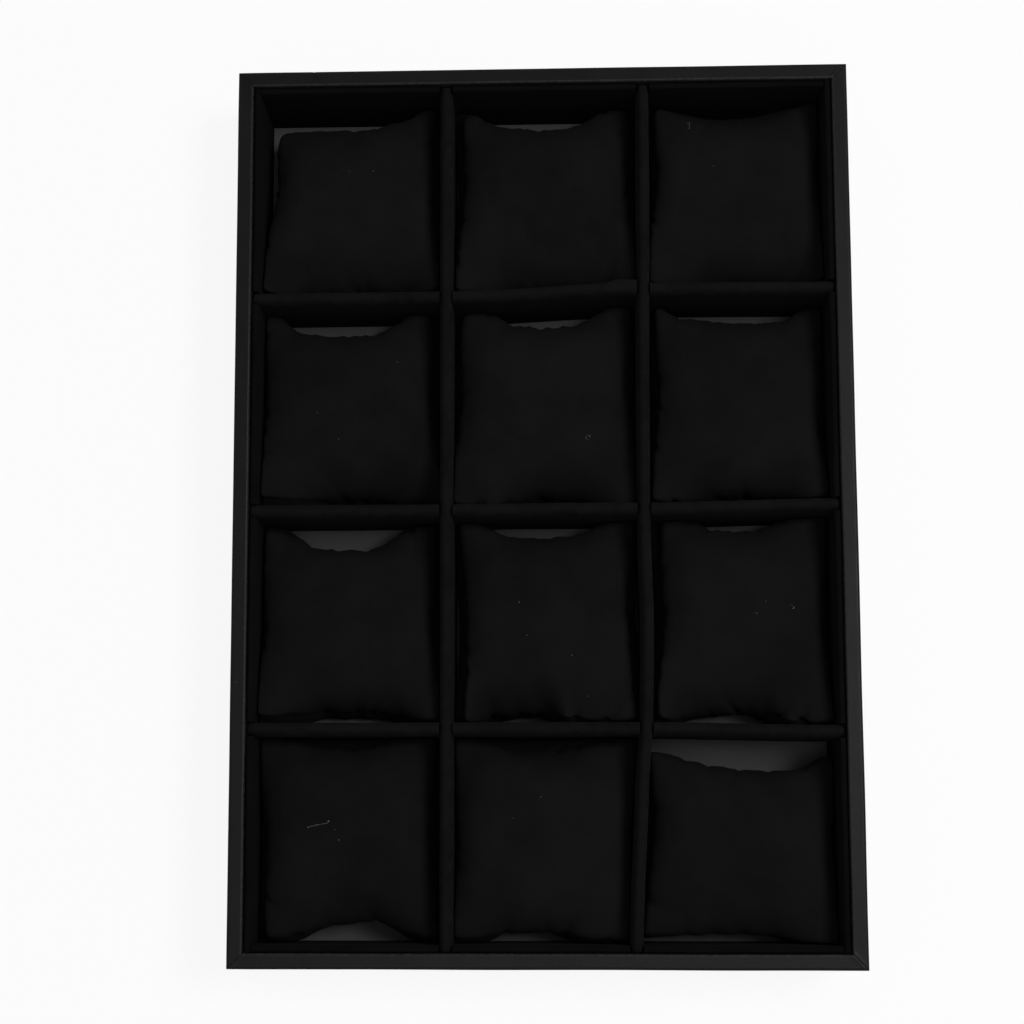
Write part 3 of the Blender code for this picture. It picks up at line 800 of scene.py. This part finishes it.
# For each pillow, in mm: ears at the far left, far right, near right and near left as insets (x, y)
# from the cell's corners with the height of the tip over the floor, then for the far, right, near and
# left edges how far they are drawn in between the ears, the seam's height at their middle, and how
# much the underside swells out past the seam there (0 to 1). The dips say where the far and the near
# edge leave the left ear, reach their depth, leave it and are back at the right ear (-1 to 1)
pillows = {
    (1, 1): {"ears": ((6.3, 6.4, 17), (3.5, 0, 21), (0.8, 3.6, 31), (0, 4.4, 31)),
             "drawn": (4, 1, -1, 0), "seam": (18, 24, 14, 22), "fill": (0, 0.6, 0.5, 0.2),
             "dips": ((-1.2, -1, 0.6, 0.95), (-0.9, -0.4, 0.4, 0.9)), "corners": (0, 1, 1, 1),
             "folds": ((2, 0.1, 2.6, 1.8, 13, -0.4), (2, 0.45, 1.8, 2.4, 8, 0.2))},
    (1, 2): {"ears": ((4.1, 3.7, 18), (4.1, 1.7, 18), (0, 3.9, 31), (1.1, 2.7, 31)),
             "drawn": (5.6, 1, -0.5, 1), "seam": (18, 24, 13, 24), "fill": (0, 0.6, 0.5, 0.6),
             "dips": ((-0.85, -0.5, 0.35, 0.75), (-0.9, -0.4, 0.4, 0.9))},
    (1, 3): {"ears": ((4.1, 1.1, 18), (1, 0, 22), (0, 4.6, 31), (0.6, 2.6, 31)),
             "drawn": (6.4, 0.5, -0.8, 0.5), "seam": (18, 24, 13, 24), "fill": (1, 0.6, 0.5, 0.6),
             "dips": ((-1, -0.3, 0.2, 0.95), (-0.9, -0.3, 0.5, 1))},
    (2, 1): {"ears": ((0.7, 0, 19), (5.8, 0, 19), (0.9, 1.4, 31), (0, 5.4, 31)),
             "drawn": (8, 0.5, 0.9, 0.5), "seam": (18, 24, 13, 24), "fill": (0, 0.6, 0.4, 0.6),
             "dips": ((-0.85, -0.5, 0.3, 0.8), (-0.7, -0.2, 0.7, 1.1)),
             "folds": ((2, 0.1, 2.4, 1.5, 10, 0.5), (2, 0.38, 2, 1.4, 9, 0.4))},
    (2, 2): {"ears": ((4.9, 0, 18), (3.2, 0, 19), (0.9, 0.8, 31), (0, 2, 31)),
             "drawn": (6.5, 0, 3, 0), "seam": (18, 24, 13, 24), "fill": (0, 0.6, 0.3, 0.6),
             "dips": ((-0.75, -0.35, 0.35, 0.85), (-0.6, -0.1, 0.3, 0.75)),
             "folds": ((0, -0.07, 2, 1.4, 7, 0), (2, -0.67, 2.4, 2, 9, 0.6))},
    (2, 3): {"ears": ((3.6, 1.1, 18), (0, 2.6, 19), (0.5, 3.4, 31), (1.3, 2.6, 31)),
             "drawn": (5, 2, 1.5, 1), "seam": (18, 24, 13, 24), "fill": (0, 0.6, 0.4, 0.6),
             "dips": ((-0.95, -0.65, 0.45, 0.85), (-0.8, -0.3, 0.3, 0.8))},
    (3, 1): {"ears": ((1.6, 2.7, 17), (2.9, 1.5, 18), (0.8, 1.7, 31), (0, 4, 31)),
             "drawn": (8.1, 1.5, 1.8, 0.5), "seam": (18, 24, 13, 24), "fill": (0, 0.6, 0.4, 0.6),
             "dips": ((-0.95, -0.3, 0.2, 0.85), (-0.8, -0.2, 0.3, 0.85)),
             "folds": ((0, 0.15, 3.2, 1.6, 7, 0.2), (0, -0.42, 1.6, 1.3, 5, -0.2),
                       (2, 0.2, 2.4, 1.6, 11, 0.3))},
    (3, 2): {"ears": ((1.7, 0.4, 18), (0, 0, 19), (1, 2.3, 31), (4.6, 1.3, 30)),
             "drawn": (5.5, 3, 2.6, 1.5), "seam": (18, 24, 13, 24), "fill": (0, 0.6, 0.2, 0.6),
             "dips": ((-0.8, -0.45, 0.3, 0.75), (-0.9, -0.6, -0.2, 0.2))},
    (3, 3): {"ears": ((6.2, 0, 19), (0, 0, 19), (0.3, 2.5, 31), (3.4, 2.6, 30)),
             "drawn": (4.2, 2.5, 2, 0), "seam": (18, 24, 13, 24), "fill": (0, 0.6, 0.1, 0.6),
             "dips": ((-0.8, -0.35, 0.15, 0.65), (-0.9, -0.5, 0, 0.5)),
             "folds": ((2, 0.35, 2.6, 2, 10, 0.3), (2, 0.6, 2, 1.5, 8, 0))},
    (4, 1): {"ears": ((0, 0.9, 19), (2.3, 1.1, 19), (1.8, 2.7, 24), (4.8, 2.6, 24)),
             "drawn": (3.2, 1.5, 4, 0), "seam": (17, 21, 17, 21), "fill": (1, 0.6, 0, 0.6),
             "dips": ((-0.8, -0.3, 0.1, 0.75), (-0.85, -0.2, 0.25, 0.9))},
    (4, 2): {"ears": ((0, 1.2, 19), (0, 2.1, 19), (0, 2.6, 27), (0, 3, 27)),
             "drawn": (3.6, 0.5, 0.4, 0.5), "seam": (17, 22, 17, 22), "fill": (1, 0.6, 0, 0.6),
             "dips": ((-0.75, -0.25, 0.05, 0.8), (-0.75, -0.3, 0, 0.5))},
    (4, 3): {"ears": ((0, 6.2, 20), (0, 7.6, 21), (0, 0.4, 27), (0, 2.3, 27)),
             "drawn": (5, 0.5, 1.5, 2), "seam": (18, 22, 17, 22), "fill": (0, 0.6, 0, 0.6),
             "dips": ((-1.1, 0.1, 0.6, 0.86), (-1.3, -1, 0.2, 0.8)), "corners": (0, 0, 1, 0.3), "pucker": 0.3},
}


def cellWalls(row, column):
    # functions that give the cell's left, right, near and far clear faces
    half = dividerSet["thick"] / 2
    left = (lambda y: -linerInner.x) if column == 1 else (lambda y: longLines[column - 2](y) + half)
    right = (lambda y: linerInner.x) if column == 3 else (lambda y: longLines[column - 1](y) - half)
    near = (lambda x: -linerInner.y) if row == 4 else (lambda x: crossLines[row - 1](x) + half)
    far = (lambda x: linerInner.y) if row == 1 else (lambda x: crossLines[row - 2](x) - half)
    return left, right, near, far


def cellMiddle(row, column):
    return Vector(((column - 2) * 2 * linerInner.x / 3, (2.5 - row) * linerInner.y / 2))


def flatPillow(key):
    # two square sheets, joined round the edge, a little apart inside
    chance = random.Random(key[0] * 10 + key[1])
    half = pillowSet["half"] * pillowSet["simScale"]
    cells = pillowSet["cells"]
    shape = bmesh.new()
    bmesh.ops.create_grid(shape, x_segments=cells, y_segments=cells, size=half)
    sheet = list(shape.verts) + list(shape.edges) + list(shape.faces)
    copied = bmesh.ops.duplicate(shape, geom=sheet)["geom"]
    lower = [item for item in copied if isinstance(item, bmesh.types.BMVert)]
    bmesh.ops.reverse_faces(shape, faces=[item for item in copied if isinstance(item, bmesh.types.BMFace)])
    below = set(lower)
    for corner in shape.verts:
        inside = (1 - (corner.co.x / half) ** 2) * (1 - (corner.co.y / half) ** 2)
        lift = half * (0.10 + 0.02 * chance.random()) * inside ** 0.5 if inside > 1e-6 else 0.0
        corner.co.z = -lift if corner in below else lift
    seam = [one for one in shape.verts if abs(one.co.z) < 1e-7]
    bmesh.ops.remove_doubles(shape, verts=seam, dist=half * 1e-4)
    mesh = bpy.data.meshes.new("pillow")
    shape.to_mesh(mesh)
    shape.free()
    name = "pillow_velvet_r" + str(key[0]) + "_c" + str(key[1])
    piece = bpy.data.objects.new(name, mesh)
    bpy.context.scene.collection.objects.link(piece)
    piece.location = (key[1] * 3.0, key[0] * 3.0, 0.0)
    return piece


def sewAndFill(pieces):
    # all the pillows are blown up together
    for number, piece in enumerate(pieces.values()):
        cloth = piece.modifiers.new("cloth", "CLOTH")
        for name, value in clothSet.items():
            setattr(cloth.settings, name, value)
        cloth.settings.uniform_pressure_force = pillowSet["pressure"] + pillowSet["pressureStep"] * (number % 4)
        cloth.settings.effector_weights.gravity = 0.0
        cloth.point_cache.frame_end = pillowSet["frames"]
    for step in range(1, pillowSet["frames"] + 1):
        bpy.context.scene.frame_set(step)
    graph = bpy.context.evaluated_depsgraph_get()
    for piece in pieces.values():
        blown = [vertex.co.copy() for vertex in piece.evaluated_get(graph).to_mesh().vertices]
        piece.evaluated_get(graph).to_mesh_clear()
        piece.modifiers.clear()
        for vertex, spot in zip(piece.data.vertices, blown):
            vertex.co = spot
    bpy.context.scene.frame_set(1)


cornerWays = ((-1, 1), (1, 1), (1, -1), (-1, -1))
outward = ((0, 1), (1, 0), (0, -1), (-1, 0))


def cornerShare(u, v):
    # weights of the four ears and the four edge middles at a place on the sheet
    ears = [0.25 * (1 + u * a) * (1 + v * b) * (u * a + v * b - 1) for a, b in cornerWays]
    edges = [0.5 * (1 - u * u) * (1 + v), 0.5 * (1 + u) * (1 - v * v),
             0.5 * (1 - u * u) * (1 - v), 0.5 * (1 - u) * (1 - v * v)]
    return ears + edges


def softMax(value, limit, soft):
    # value, kept over limit with a rounded turn
    over = (value - limit) / soft
    if over > 8:
        return value
    return limit + soft * math.log1p(math.exp(max(-30.0, over)))


def easeIn(share):
    share = min(1.0, max(0.0, share))
    return share * share * (3 - 2 * share)


def dipShare(edge, place, dips):
    # how far an edge is drawn in at a place along it, from 0 at the ears to 1
    if edge % 2:
        return 1 - abs(place) ** 5
    leave, deep, shallow, back = dips[edge // 2]
    return easeIn((place - leave) / (deep - leave)) * easeIn((back - place) / (back - shallow))


def evenOut(piece, rest):
    # takes out the sharp kink that the cloth gets in the middle of each seam
    count = pillowSet["cells"]
    order = {}
    for number, (u, v, side) in enumerate(rest):
        across, along = round((u + 1) / 2 * count), round((v + 1) / 2 * count)
        for face in ((0, 1) if side == 0 else ((0,) if side > 0 else (1,))):
            order[(face, across, along)] = number
    index = np.array([[[order[(face, across, along)] for along in range(count + 1)]
                       for across in range(count + 1)] for face in (0, 1)])
    places = np.empty(len(rest) * 3)
    piece.data.vertices.foreach_get("co", places)
    places = places.reshape(-1, 3)
    grid = places[index]
    line = np.linspace(-1, 1, count + 1)
    nearEnds = np.clip((np.abs(line) - 0.45) / 0.4, 0, 1)
    edgeV = nearEnds[None, None, :, None] * (1 - nearEnds[None, :, None, None] ** 4)
    edgeU = nearEnds[None, :, None, None] * (1 - nearEnds[None, None, :, None] ** 4)
    for _ in range(pillowSet["evenOut"]):
        alongU = grid.copy()
        alongU[:, 1:-1] = (grid[:, :-2] + grid[:, 2:]) / 2
        alongV = grid.copy()
        alongV[:, :, 1:-1] = (grid[:, :, :-2] + grid[:, :, 2:]) / 2
        grid = grid + 0.5 * edgeV * (alongU - grid) + 0.5 * edgeU * (alongV - grid)
    places[index.ravel()] = grid.reshape(-1, 3)
    piece.data.vertices.foreach_set("co", places.ravel())


def refine(piece, rest):
    # the sheets divided once more, with each new point's place on the sheet
    mark = piece.data.attributes.new("rest", "FLOAT_VECTOR", "POINT")
    mark.data.foreach_set("vector", [value for one in rest for value in one])
    smooth = piece.modifiers.new("soft", "SUBSURF")
    smooth.levels = 1
    smooth.render_levels = 1
    mesh = bpy.data.meshes.new_from_object(piece.evaluated_get(bpy.context.evaluated_depsgraph_get()))
    piece.modifiers.clear()
    piece.data = mesh
    mesh.name = piece.name
    found = [tuple(one.vector) for one in mesh.attributes["rest"].data]
    mesh.attributes.remove(mesh.attributes["rest"])
    return found


def drawFolds(key):
    # small folds that run in from the seams: edge, place along it, depth, width, reach and slant
    chance = random.Random(key[0] * 31 + key[1] * 7)
    folds = [(edge, place, depth * mm, width * mm, reach * mm, slant)
             for edge, place, depth, width, reach, slant in pillows[key].get("folds", ())]
    for edge in range(4):
        for number in range(pillowSet["folds"]):
            place = -0.78 + 1.56 * (number + chance.uniform(0.15, 0.85)) / pillowSet["folds"]
            depth = pillowSet["foldDepth"] * chance.uniform(0.2, 1.0) * (1.4 if edge == 2 else 1.0)
            width = pillowSet["foldWidth"] * chance.uniform(0.7, 1.5) * (1.2 if edge == 2 else 1.0)
            reach = pillowSet["foldReach"] * chance.uniform(0.5, 1.4) * (1.4 if edge == 2 else 1.0)
            folds.append((edge, place, depth, width, reach, chance.uniform(-0.5, 0.5)))
    return folds


def layPillow(key, piece, rest):
    row, column = key
    facts = pillows[key]
    left, right, near, far = cellWalls(row, column)
    middle = cellMiddle(row, column)
    clear = pillowSet["clear"]
    half = pillowSet["half"]
    targets = []
    for (wayX, wayY), (insetX, insetY, height) in zip(cornerWays, facts["ears"]):
        reach = clear - pillowSet["earReach"]
        y = (far if wayY > 0 else near)(middle.x + wayX * 30 * mm) - wayY * (insetY * mm + reach)
        x = (right if wayX > 0 else left)(y) - wayX * (insetX * mm + reach)
        targets.append(Vector((x, y, floorTop + height * mm)))
    for first, (way, drawn, height) in enumerate(zip(outward, facts["drawn"], facts["seam"])):
        spot = (targets[first] + targets[(first + 1) % 4]) / 2
        drawn = drawn * mm + pillowSet["earReach"]
        targets.append(Vector((spot.x - way[0] * drawn, spot.y - way[1] * drawn, floorTop + height * mm)))
    shrink = 1 / pillowSet["simScale"]
    moves = []
    for target, (u, v) in zip(targets, cornerWays + outward):
        reach = 0.02 if u and v else 0.1
        close = [vertex.co * shrink for vertex, (a, b, side) in zip(piece.data.vertices, rest)
                 if abs(side) < 0.01 and abs(a - u) < reach and abs(b - v) < reach]
        moves.append(target - sum(close, Vector()) / len(close))
    tallest = max(abs(vertex.co.z) for vertex in piece.data.vertices)
    folds = drawFolds(key)
    ears = [ear[2] for ear in facts["ears"]]
    rises = [(ears[number] + ears[(number + 1) % 4]) / 2 - facts["seam"][number] for number in range(4)]
    fullCorners = facts.get("corners", (1, 1, 1, 1))
    for vertex, (u, v, side) in zip(piece.data.vertices, rest):
        here = vertex.co * shrink
        thick = abs(vertex.co.z / tallest) ** pillowSet["fullness"]
        if side < 0:
            # the underside drops nearly straight from the seam
            thick = max(thick, pillowSet["undersideDrop"] * (1 - max(abs(u), abs(v)) ** pillowSet["boxy"]))
        here.z = math.copysign(thick, vertex.co.z) * pillowSet["crown"]
        for share, move in zip(cornerShare(u, v), moves):
            here += share * move
        # rounded ears
        tip = abs(u * v) ** pillowSet["earPower"] * pillowSet["earRound"]
        here.x -= math.copysign(tip, u)
        here.y -= math.copysign(tip, v)
        levels = (v, u, -v, -u)
        edges = (u, v, u, v)
        shares = [dipShare(number, edge, facts["dips"]) for number, edge in enumerate(edges)]
        for way, level, edge, share, drawn, rise in zip(outward, levels, edges, shares, facts["drawn"], rises):
            # the seam runs along the dip and turns up into the ears
            if level > 0:
                extra = (share - (1 - edge * edge)) * level ** 3
                here.x -= way[0] * drawn * mm * extra
                here.y -= way[1] * drawn * mm * extra
                here.z -= rise * mm * extra
        # small gathers along the seam, then the folds
        for number, (way, level, edge) in enumerate(zip(outward, levels, edges)):
            across = (1 - level) * half
            if across > 3 * pillowSet["foldReach"]:
                continue
            fade = math.exp(-across / pillowSet["gatherReach"]) * (1 - edge ** 4)
            place = edge * half / pillowSet["gatherLength"]
            turn = place * 2 + 2.2 * noise.noise(Vector((place * 0.7, number * 5, row * 3 + column)))
            strength = 0.55 + 0.8 * noise.noise(Vector((place * 0.5, number * 9, row + column * 4)))
            strength *= facts.get("pucker", 1.0) * (pillowSet["nearGathers"] if number == 2 else 1.0)
            lift = pillowSet["gather"] * strength * fade * (1.6 * abs(math.sin(math.pi * turn / 2)) - 1)
            frayed = noise.noise(Vector((edge * half / pillowSet["raggedLength"], number, row * 5 + column)))
            lift += pillowSet["ragged"] * fade * strength * frayed
            here.z += lift
            here.x -= way[0] * lift
            here.y -= way[1] * lift
            for fold in folds:
                if fold[0] != number:
                    continue
                spot, depth, width, reach, slant = fold[1:]
                off = ((edge - spot) * half - slant * across) / (width * (1 + pillowSet["foldSpread"] * across / mm))
                if abs(off) < 3:
                    dent = depth * math.exp(-off * off) * math.exp(-(across / reach) ** 2)
                    inset = dent * math.exp(-across / pillowSet["foldInset"])
                    here.z -= dent * (0.9 if side >= 0 else -0.9) * min(1.0, across / (2 * mm))
                    here.x -= way[0] * inset
                    here.y -= way[1] * inset
        if side < 0:
            # the underside swells out under the seam, least where the edge dips over an open floor
            spread = pillowSet["swellSpread"]
            for number, (amount, level, edge, share, way) in enumerate(zip(facts["fill"], levels, edges, shares,
                                                                           outward)):
                if level > 0:
                    besideEar = fullCorners[number if edge * (way[1] + way[0] * -1) < 0 else (number + 1) % 4]
                    amount += (1 - amount) * (1 - share) * besideEar
                    bulge = pillowSet["swellPeak"] * level ** 6 * (1 - level) * (1 - abs(edge) ** spread)
                    swell = bulge * amount * pillowSet["swell"]
                    here.x += way[0] * swell
                    here.y += way[1] * swell
            corner = (0 if u < 0 else 1) if v > 0 else (3 if u < 0 else 2)
            swell = pillowSet["cornerPeak"] * abs(u * v) ** 4 * (1 - max(abs(u), abs(v)) ** 12) * fullCorners[corner]
            here.x += math.copysign(swell * pillowSet["cornerSwell"], u)
            here.y += math.copysign(swell * pillowSet["cornerSwell"], v)
        # kept clear of the floor and the cell's walls
        here.z = softMax(here.z, floorTop + clear, pillowSet["floorTurn"])
        here.x = softMax(here.x, left(here.y) + clear, pillowSet["wallTurn"])
        here.x = -softMax(-here.x, -(right(here.y) - clear), pillowSet["wallTurn"])
        here.y = softMax(here.y, near(here.x) + clear, pillowSet["wallTurn"])
        here.y = -softMax(-here.y, -(far(here.x) - clear), pillowSet["wallTurn"])
        vertex.co = here
    piece.location = (0.0, 0.0, 0.0)


def finishPillow(key, piece):
    piece.data.materials.append(pillowVelvet)
    piece.data.shade_smooth()
    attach(piece, "root")
    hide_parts("pillow_r" + str(key[0]) + "_c" + str(key[1]))


pillowPieces = {key: flatPillow(key) for key in pillows}
restPlaces = {}
fullHalf = pillowSet["half"] * pillowSet["simScale"]
for key, piece in pillowPieces.items():
    restPlaces[key] = [(vertex.co.x / fullHalf, vertex.co.y / fullHalf,
                        0 if abs(vertex.co.z) < 1e-7 else math.copysign(1, vertex.co.z))
                       for vertex in piece.data.vertices]
sewAndFill(pillowPieces)
print("pillows blown up")
for key, piece in pillowPieces.items():
    evenOut(piece, restPlaces[key])
    bpy.context.view_layer.update()
    restPlaces[key] = refine(piece, restPlaces[key])
    layPillow(key, piece, restPlaces[key])
    finishPillow(key, piece)
print("pillows laid")


# Lint on the pillows, in mm: threads by the places that they pass, specks by place and radius

lintPlaces = {
    (4, 1): {"threads": (((-90.8, -122.2), (-89.2, -121.7), (-87.5, -121.3), (-85.3, -120.9), (-83.6, -120.7),
                          (-82.9, -119.9)),),
             "specks": ((-90.8, -122.2, 0.3), (-87.5, -121.3, 0.28), (-82.9, -119.9, 0.38), (-80.5, -123, 0.2),
                        (-78.9, -127, 0.22))},
    (2, 2): {"threads": (((18.4, 29), (17.9, 29.8), (17, 29.7), (16.7, 28.8), (17.4, 28.1), (18.2, 28.3)),),
             "specks": ((18.2, 29.6, 0.28),)},
    (1, 3): {"threads": (((59.6, 158.6), (59.2, 157.4), (59.5, 156), (59, 154.9)),
                         ((59.2, 157.4), (58.4, 157.9))),
             "specks": ((59.1, 155, 0.25), (68.3, 138.2, 0.22))},
    (3, 3): {"threads": (((96.4, -38), (95.6, -38.9)),),
             "specks": ((96.2, -38.6, 0.25), (95.5, -37.5, 0.2), (85.5, -35.9, 0.2), (82, -40.5, 0.22),
                        (81.2, -40.1, 0.18))},
    (3, 2): {"threads": (), "specks": ((-6.6, -48.6, 0.2), (-9.6, -35.8, 0.25), (10.7, -56.4, 0.2))},
    (1, 1): {"threads": (), "specks": ((-76.9, 138, 0.2), (-67.3, 137.8, 0.2))},
    (2, 1): {"threads": (), "specks": ((-80.5, 29.3, 0.22), (-57.4, 59.9, 0.2), (-88.8, 39.7, 0.2))},
    (4, 2): {"threads": (), "specks": ((-1.5, -110.7, 0.2), (-12.2, -118.7, 0.18))},
}

def onPillow(key, x, y):
    spot, normal = pillowPieces[key].ray_cast(Vector((x * mm, y * mm, 0.1)), Vector((0, 0, -1)))[1:3]
    return spot + normal * lintSet["threadRadius"]


def buildLint(key):
    # each thread is a thin tube on the velvet, each speck a small uneven lump
    shape = bmesh.new()
    for thread in lintPlaces[key]["threads"]:
        spots = [onPillow(key, x, y) for x, y in thread]
        ring = bmesh.ops.create_circle(shape, cap_ends=True, segments=lintSet["threadSides"],
                                       radius=lintSet["threadRadius"])["verts"]
        along = (spots[1] - spots[0]).to_track_quat("Z", "Y").to_matrix().to_4x4()
        bmesh.ops.transform(shape, verts=ring, matrix=Matrix.Translation(spots[0]) @ along)
        face = ring[0].link_faces[0]
        for number, (start, end) in enumerate(zip(spots, spots[1:])):
            inner = face
            grown = bmesh.ops.extrude_face_region(shape, geom=[inner], use_keep_orig=number == 0)
            face = next(item for item in grown["geom"] if isinstance(item, bmesh.types.BMFace))
            if number:
                shape.faces.remove(inner)
            bmesh.ops.translate(shape, verts=face.verts, vec=end - start)
    for number, (x, y, size) in enumerate(lintPlaces[key]["specks"]):
        lump = bmesh.ops.create_icosphere(shape, subdivisions=1, radius=size * mm)["verts"]
        for corner in lump:
            corner.co *= 1 + lintSet["unevenness"] * noise.noise(corner.co * 4000 + Vector((number, key[0], key[1])))
        bmesh.ops.translate(shape, verts=lump, vec=onPillow(key, x, y))
    finishPiece("lint_r" + str(key[0]) + "_c" + str(key[1]), shape, lint)


bpy.context.view_layer.update()
for key in lintPlaces:
    buildLint(key)
print("lint laid")


# CAD nodes that stay

def dress(node, material):
    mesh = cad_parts[node].data
    mesh.materials.clear()
    mesh.materials.append(material)


dress("floor_lining", lining)
dress("bottom_cover", backing)
dress("base_board", fibreboard)
for side in sideTurns:
    dress("wall_board_" + side, fibreboard)


# Floor, light and camera

stageSet = {
    "size": 6.0,
    "colour": (0.82, 0.82, 0.82, 1.0),
    "roughness": 0.9,
    "specular": 0.1,
    "whiteToCamera": 0.9,
    "drop": 0.0005,
}


def buildStage():
    shape = bmesh.new()
    bmesh.ops.create_grid(shape, x_segments=1, y_segments=1, size=stageSet["size"])
    mesh = bpy.data.meshes.new("studioFloor")
    shape.to_mesh(mesh)
    shape.free()
    material = bpy.data.materials.new("studioFloor")
    material.use_nodes = True
    tree = material.node_tree
    shader = tree.nodes["Principled BSDF"]
    shader.inputs["Base Color"].default_value = stageSet["colour"]
    shader.inputs["Roughness"].default_value = stageSet["roughness"]
    shader.inputs["Specular IOR Level"].default_value = stageSet["specular"]
    glow = addNode(tree, "ShaderNodeEmission", Color=(1.0, 1.0, 1.0, 1.0), Strength=1.0)
    seen = tree.nodes.new("ShaderNodeLightPath")
    mix = tree.nodes.new("ShaderNodeMixShader")
    share = maths(tree, "MULTIPLY", seen.outputs["Is Camera Ray"], stageSet["whiteToCamera"])
    tree.links.new(share, mix.inputs["Fac"])
    tree.links.new(shader.outputs["BSDF"], mix.inputs[1])
    tree.links.new(glow.outputs["Emission"], mix.inputs[2])
    tree.links.new(mix.outputs["Shader"], tree.nodes["Material Output"].inputs["Surface"])
    mesh.materials.append(material)
    floor = bpy.data.objects.new("studioFloor", mesh)
    bpy.context.scene.collection.objects.link(floor)
    floor.location.z = cadBox[0][2] - stageSet["drop"]


def buildWorld(level):
    world = bpy.data.worlds.new("studio")
    bpy.context.scene.world = world
    world.use_nodes = True
    tree = world.node_tree
    shade = tree.nodes["Background"]
    shade.inputs["Color"].default_value = (1.0, 1.0, 1.0, 1.0)
    path = tree.nodes.new("ShaderNodeLightPath")
    seen = maths(tree, "MAXIMUM", path.outputs["Is Camera Ray"], path.outputs["Is Glossy Ray"])
    seen = maths(tree, "MAXIMUM", seen, path.outputs["Is Transmission Ray"])
    strength = maths(tree, "MULTIPLY", seen, 1.0 - level)
    tree.links.new(maths(tree, "ADD", strength, level), shade.inputs["Strength"])


def areaLamp(name, place, aim, size, power):
    data = bpy.data.lights.new(name, "AREA")
    data.shape = "SQUARE"
    data.size = size
    data.energy = power
    lamp = bpy.data.objects.new(name, data)
    bpy.context.scene.collection.objects.link(lamp)
    lamp.location = place
    lamp.rotation_euler = (Vector(aim) - Vector(place)).to_track_quat("-Z", "Y").to_euler()


lightSet = {
    "world": 0.25,
    "key": {"place": (0.76, 0.17, 1.63), "aim": (0.0, 0.0, 0.0), "size": 0.5, "power": 20.0},
    "fill": {"place": (0.05, -0.3, 1.85), "aim": (0.0, 0.0, 0.0), "size": 0.7, "power": 6.0},
}
cameraSet = {
    "place": (6.195 * mm, -125.022 * mm, 899.584 * mm),
    "turn": (8.22, 2.5725, -0.0052),
    "lens": 78.564,
    "shiftX": 0.05078,
    "shiftY": 0.0,
}


def buildCamera():
    data = bpy.data.cameras.new("camera")
    data.lens = cameraSet["lens"]
    data.sensor_width = 36.0
    data.sensor_fit = "HORIZONTAL"
    data.shift_x = cameraSet["shiftX"]
    data.shift_y = cameraSet["shiftY"]
    data.clip_start = 0.01
    camera = bpy.data.objects.new("camera", data)
    bpy.context.scene.collection.objects.link(camera)
    camera.location = cameraSet["place"]
    camera.rotation_euler = [math.radians(angle) for angle in cameraSet["turn"]]
    bpy.context.scene.camera = camera


buildStage()
buildWorld(lightSet["world"])
for name in ("key", "fill"):
    areaLamp(name, **lightSet[name])
buildCamera()
bpy.context.scene.view_settings.view_transform = "Standard"
print("stage set")
